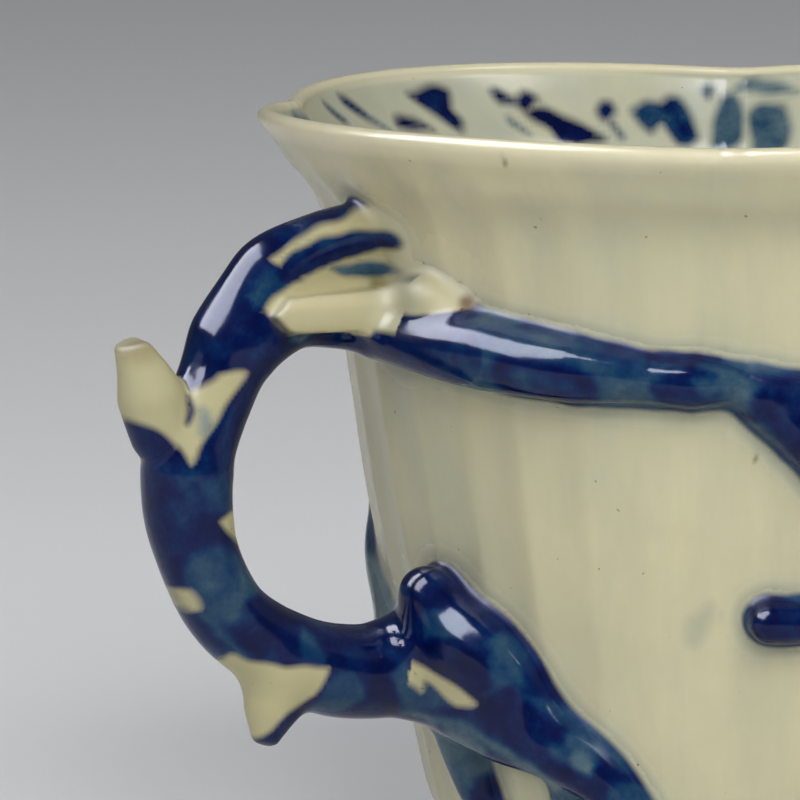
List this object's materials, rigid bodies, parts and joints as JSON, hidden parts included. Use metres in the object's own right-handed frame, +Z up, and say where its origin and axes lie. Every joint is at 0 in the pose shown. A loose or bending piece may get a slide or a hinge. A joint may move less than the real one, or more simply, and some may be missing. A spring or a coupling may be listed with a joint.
{
  "type": "coffee cup",
  "caption": "Small fluted porcelain coffee cup with a lobed flaring mouth, a low foot ring, and a pruned-branch handle whose ends run on as applied branches round the wall.",
  "frame": {"origin": "on the table, under the middle of the outline of cup and handle together; the cup's own axis is about 8 mm towards +X from it", "axes": "+Z up along the cup's axis, -X towards the handle, the thumb side of the handle at the top"},
  "size_m": [0.0956, 0.079, 0.0626],
  "materials": {
    "cream_glaze": "glossy cream glaze, slightly grey-blue where it pools",
    "cobalt_glaze": "glossy glaze over brushed cobalt blue",
    "washed_blue_glaze": "glossy glaze over a thin wash of cobalt"
  },
  "bodies": {
    "root": {"cup_body": "cream_glaze", "foot_ring": "cream_glaze", "handle_limb": "cobalt_glaze", "upper_prong": "cobalt_glaze", "thumb_spur": "cream_glaze", "lower_spur": "cream_glaze", "cut_stub": "cream_glaze", "upper_knuckle": "cream_glaze", "upper_branch_front": "cobalt_glaze", "turned_branch_front": "cobalt_glaze", "bud_twig_front": "cobalt_glaze", "bud_twig_side": "washed_blue_glaze", "lower_knob": "cobalt_glaze", "shoulder_twig_front": "cobalt_glaze", "lower_branch_front": "cobalt_glaze", "fork_twig_front": "cobalt_glaze", "lower_branch_down": "washed_blue_glaze", "lower_branch_far": "cobalt_glaze", "bud_twig_far": "cobalt_glaze"}
  },
  "joints": []
}
